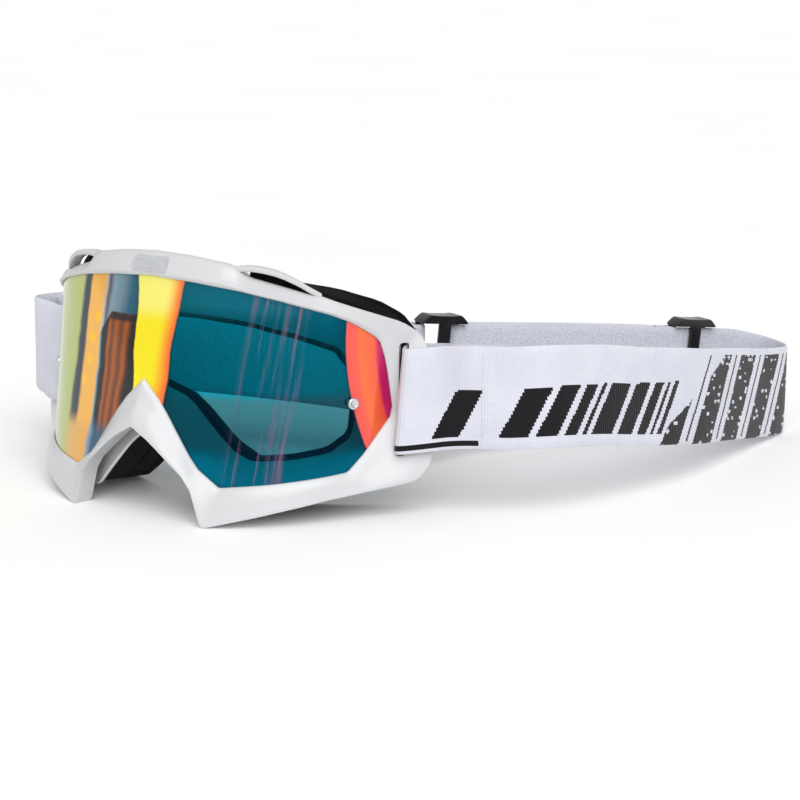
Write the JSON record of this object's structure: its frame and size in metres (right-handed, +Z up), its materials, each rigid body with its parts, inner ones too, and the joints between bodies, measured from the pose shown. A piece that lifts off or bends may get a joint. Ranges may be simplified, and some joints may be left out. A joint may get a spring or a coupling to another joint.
{
  "type": "motocross goggles",
  "caption": "Motocross goggles: curved front frame with mirrored lens, padded face side and an elastic head strap with sliders.",
  "frame": {"origin": "on the surface that the goggles stand on, under the middle of the whole object's box", "axes": "+Z up, -Y the way the goggles face, +X the wearer's left"},
  "size_m": [0.274, 0.273, 0.101],
  "materials": {
    "frame": "gloss white moulding",
    "face_frame": "satin, soft, light grey",
    "lens": "mirror-coated, see-through, teal to red",
    "post": "polished",
    "badge": "finely textured silver",
    "vent_foam": "open-cell foam, black",
    "face_foam": "soft foam, black",
    "fleece": "brushed fleece, black",
    "strap": "woven elastic, white with a black pattern",
    "thread": "sewing thread",
    "slider": "gloss black moulding"
  },
  "bodies": {
    "root": {"frame_shell": "frame", "face_frame": "face_frame", "lens": "lens", "tearoff_post_left": "post", "tearoff_post_right": "post", "badge_plate": "badge", "vent_foam_top_left": "vent_foam", "vent_foam_top_right": "vent_foam", "vent_foam_bottom_left": "vent_foam", "vent_foam_bottom_right": "vent_foam", "face_foam_firm": "face_foam", "face_foam_soft": "face_foam", "face_fleece": "fleece"},
    "strap": {"strap_main": "strap", "strap_short": "strap", "strap_return": "strap", "strap_loop_left": "strap", "strap_loop_right": "strap", "slider_fixed": "slider", "stitching_left": "thread", "stitching_right": "thread", "stitching_fixed": "thread"},
    "adjuster": {"slider_moving": "slider", "strap_hem": "strap", "stitching_hem": "thread"}
  },
  "joints": [
    {"name": "strap_tilt", "type": "hinge", "parent": "root", "child": "strap", "pos_m": [-0.0261, -0.0698, 0.045], "axis": [1, 0, 0], "range_deg": [-15, 20], "deforming": ["strap_loop_left", "strap_loop_right"]},
    {"name": "adjuster_slide", "type": "slide", "parent": "strap", "child": "adjuster", "axis": [-0.4638, -0.8797, 0.1045], "range_m": [0, 0.1], "deforming": ["strap_return"]}
  ]
}
